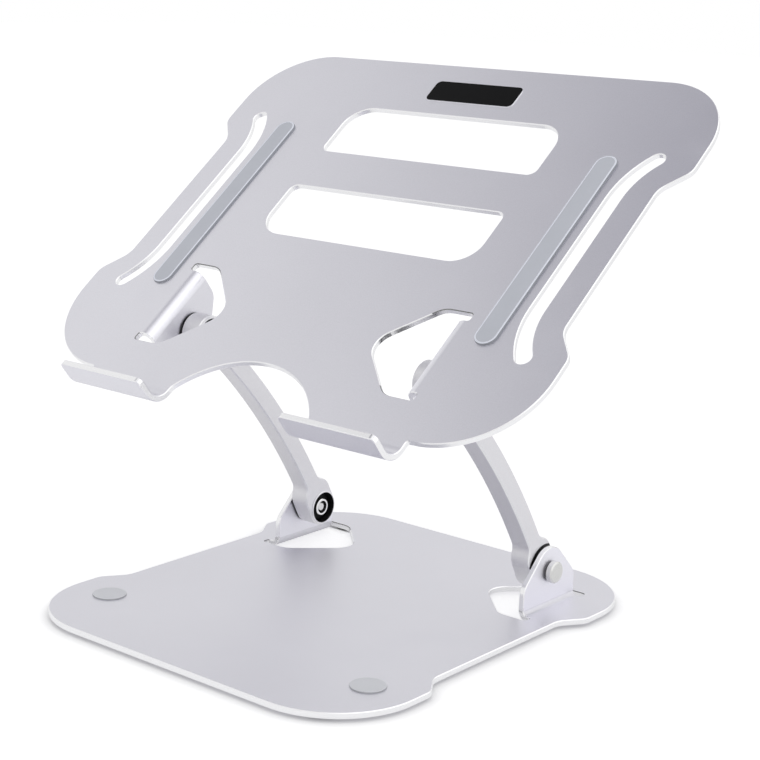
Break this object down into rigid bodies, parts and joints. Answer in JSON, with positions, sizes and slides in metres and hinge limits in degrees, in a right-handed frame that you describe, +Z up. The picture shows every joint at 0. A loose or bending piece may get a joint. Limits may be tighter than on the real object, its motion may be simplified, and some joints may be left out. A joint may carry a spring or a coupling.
{
  "type": "laptop stand",
  "caption": "Folding laptop stand: a bent sheet platform with hooks, vents and grip strips, carried over a flat base by bowed arms on friction pivots.",
  "frame": {"origin": "middle of the base, on the surface that the feet stand on", "axes": "+Z up, +Y away from the user, +X to the user's right"},
  "size_m": [0.295, 0.243, 0.266],
  "materials": {
    "base_plate": "bead-blasted and anodised silver",
    "platform_plate": "bead-blasted and anodised silver",
    "arm": "bead-blasted and anodised silver",
    "hardware": "turned",
    "friction_washer": "smooth black",
    "disc_spring": "black oxide",
    "grip_strip": "matt grey",
    "bumper": "matt pale grey",
    "foot": "matt dark grey",
    "nameplate": "plain black, blank"
  },
  "bodies": {
    "base": {"base_plate": "base_plate", "front_left_foot": "foot", "front_right_foot": "foot", "left_bumper": "bumper", "rear_left_foot": "foot", "rear_right_foot": "foot", "right_bumper": "bumper", "left_lower_bolt": "hardware", "left_lower_disc_spring": "disc_spring", "left_lower_friction_washer": "friction_washer", "left_lower_head_washer": "hardware", "left_lower_nut": "hardware", "right_lower_bolt": "hardware", "right_lower_disc_spring": "disc_spring", "right_lower_friction_washer": "friction_washer", "right_lower_head_washer": "hardware", "right_lower_nut": "hardware"},
    "left_arm": {"left_arm": "arm"},
    "right_arm": {"right_arm": "arm"},
    "platform": {"platform_plate": "platform_plate", "left_grip_strip": "grip_strip", "right_grip_strip": "grip_strip", "nameplate": "nameplate", "left_upper_bolt": "hardware", "left_upper_disc_spring": "disc_spring", "left_upper_friction_washer": "friction_washer", "left_upper_head_washer": "hardware", "left_upper_nut": "hardware", "right_upper_bolt": "hardware", "right_upper_disc_spring": "disc_spring", "right_upper_friction_washer": "friction_washer", "right_upper_head_washer": "hardware", "right_upper_nut": "hardware"}
  },
  "joints": [
    {"name": "lift", "type": "hinge", "parent": "base", "child": "left_arm", "pos_m": [0, 0.066, 0.0225], "axis": [1, 0, 0], "range_deg": [-30, 52.4]},
    {"name": "right_lift", "type": "hinge", "parent": "base", "child": "right_arm", "pos_m": [0, 0.066, 0.0225], "axis": [1, 0, 0], "range_deg": [-30, 52.4]},
    {"name": "tilt", "type": "hinge", "parent": "left_arm", "child": "platform", "pos_m": [0, -0.02413, 0.13262], "axis": [-1, 0, 0], "range_deg": [-52, 90.5]}
  ],
  "couplings": [
    {"joint": "right_lift", "follows": "lift", "ratio": 1},
    {"joint": "tilt", "follows": "lift", "ratio": 1.7214}
  ]
}
